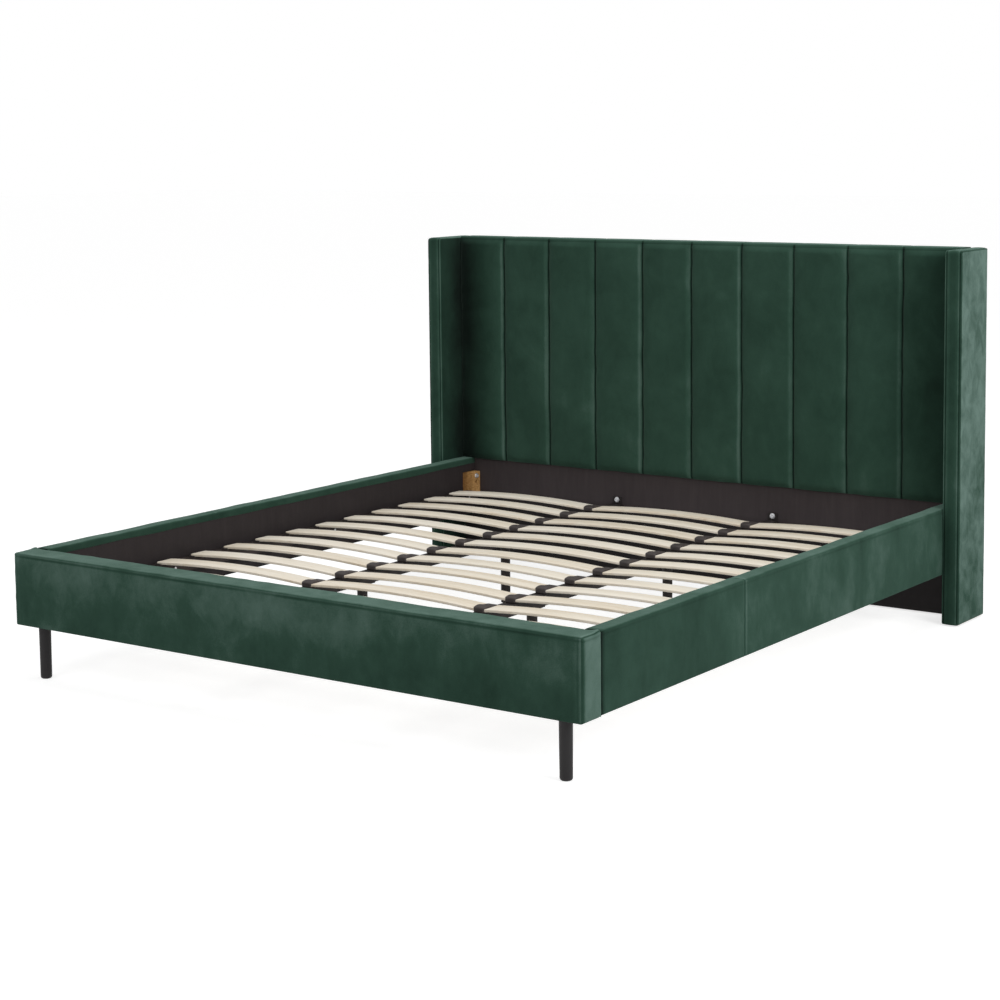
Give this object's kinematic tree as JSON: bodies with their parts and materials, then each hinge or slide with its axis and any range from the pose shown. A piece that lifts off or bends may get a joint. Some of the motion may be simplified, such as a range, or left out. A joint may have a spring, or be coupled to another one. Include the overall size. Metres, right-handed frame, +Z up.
{
  "type": "double bed",
  "caption": "Velvet-upholstered wing-back double bed: channelled headboard, padded side rails and footboard, bowed slats on centre rails, short round front legs.",
  "frame": {"origin": "on the floor under the middle of the whole bed", "axes": "+Z up, +Y from the foot towards the headboard, +X to the right of someone who stands at the foot and looks at the headboard; the bed is symmetric about the plane X = 0"},
  "size_m": [2.014, 2.196, 1.145],
  "materials": {
    "velvet": "short-pile velvet, dark forest green, over foam",
    "raw_timber": "planed softwood, unfinished",
    "fibreboard": "bare fibreboard",
    "dark_board": "board with a dark brown-black lining",
    "dark_timber": "dark stained timber",
    "back_cloth": "black non-woven cloth on board",
    "slat_wood": "laminated birch, clear finish",
    "cap_plastic": "dark brown flexible plastic",
    "black_plastic": "moulded black plastic",
    "black_steel": "black powder coat",
    "zinc_bolt": "zinc plate",
    "black_leg": "black satin paint"
  },
  "bodies": {
    "bed": {"centre_leg_inserts": "black_plastic", "centre_legs": "black_steel", "centre_rail_left": "black_steel", "centre_rail_right": "black_steel", "corner_blocks": "raw_timber", "corner_bolts": "zinc_bolt", "floor_glides": "black_plastic", "footboard_battens": "raw_timber", "footboard_blocks": "raw_timber", "footboard_cover": "velvet", "footboard_front_board": "fibreboard", "footboard_lining": "dark_board", "front_leg_left": "black_leg", "front_leg_right": "black_leg", "headboard_back_lining": "back_cloth", "headboard_beam_bottom": "raw_timber", "headboard_beam_middle": "raw_timber", "headboard_beam_slat_level": "raw_timber", "headboard_beam_top": "raw_timber", "headboard_channel_pad": "velvet", "headboard_lower_board": "dark_board", "headboard_stile_left": "raw_timber", "headboard_stile_right": "raw_timber", "headboard_upper_board": "fibreboard", "ledger_screws": "zinc_bolt", "leg_plate_screws": "zinc_bolt", "leg_plates": "black_steel", "leg_studs": "zinc_bolt", "rail_bracket_bolts": "zinc_bolt", "rail_brackets": "black_steel", "side_rail_battens_left": "raw_timber", "side_rail_battens_right": "raw_timber", "side_rail_board_left": "fibreboard", "side_rail_board_right": "fibreboard", "side_rail_cover_left": "velvet", "side_rail_cover_right": "velvet", "side_rail_lining_front_left": "dark_board", "side_rail_lining_front_right": "dark_board", "side_rail_lining_rear_left": "dark_board", "side_rail_lining_rear_right": "dark_board", "side_rail_studs_left": "raw_timber", "side_rail_studs_right": "raw_timber", "slat_double_caps": "cap_plastic", "slat_end_saddles": "cap_plastic", "slat_ledger_left": "dark_timber", "slat_ledger_right": "dark_timber", "slats_left": "slat_wood", "slats_middle": "slat_wood", "slats_right": "slat_wood", "wing_bolts": "zinc_bolt", "wing_cover_left": "velvet", "wing_cover_right": "velvet", "wing_frame_left": "raw_timber", "wing_frame_right": "raw_timber", "wing_skins_left": "fibreboard", "wing_skins_right": "fibreboard"},
    "levelling_foot_left_front": {"levelling_foot_left_front": "black_plastic"},
    "levelling_foot_left_rear": {"levelling_foot_left_rear": "black_plastic"},
    "levelling_foot_right_front": {"levelling_foot_right_front": "black_plastic"},
    "levelling_foot_right_rear": {"levelling_foot_right_rear": "black_plastic"}
  },
  "joints": [
    {"name": "levelling_foot_left_front_screw", "type": "slide", "parent": "bed", "child": "levelling_foot_left_front", "axis": [0, 0, -1], "range_m": [0, 0.012]},
    {"name": "levelling_foot_left_rear_screw", "type": "slide", "parent": "bed", "child": "levelling_foot_left_rear", "axis": [0, 0, -1], "range_m": [0, 0.012]},
    {"name": "levelling_foot_right_front_screw", "type": "slide", "parent": "bed", "child": "levelling_foot_right_front", "axis": [0, 0, -1], "range_m": [0, 0.012]},
    {"name": "levelling_foot_right_rear_screw", "type": "slide", "parent": "bed", "child": "levelling_foot_right_rear", "axis": [0, 0, -1], "range_m": [0, 0.012]}
  ]
}
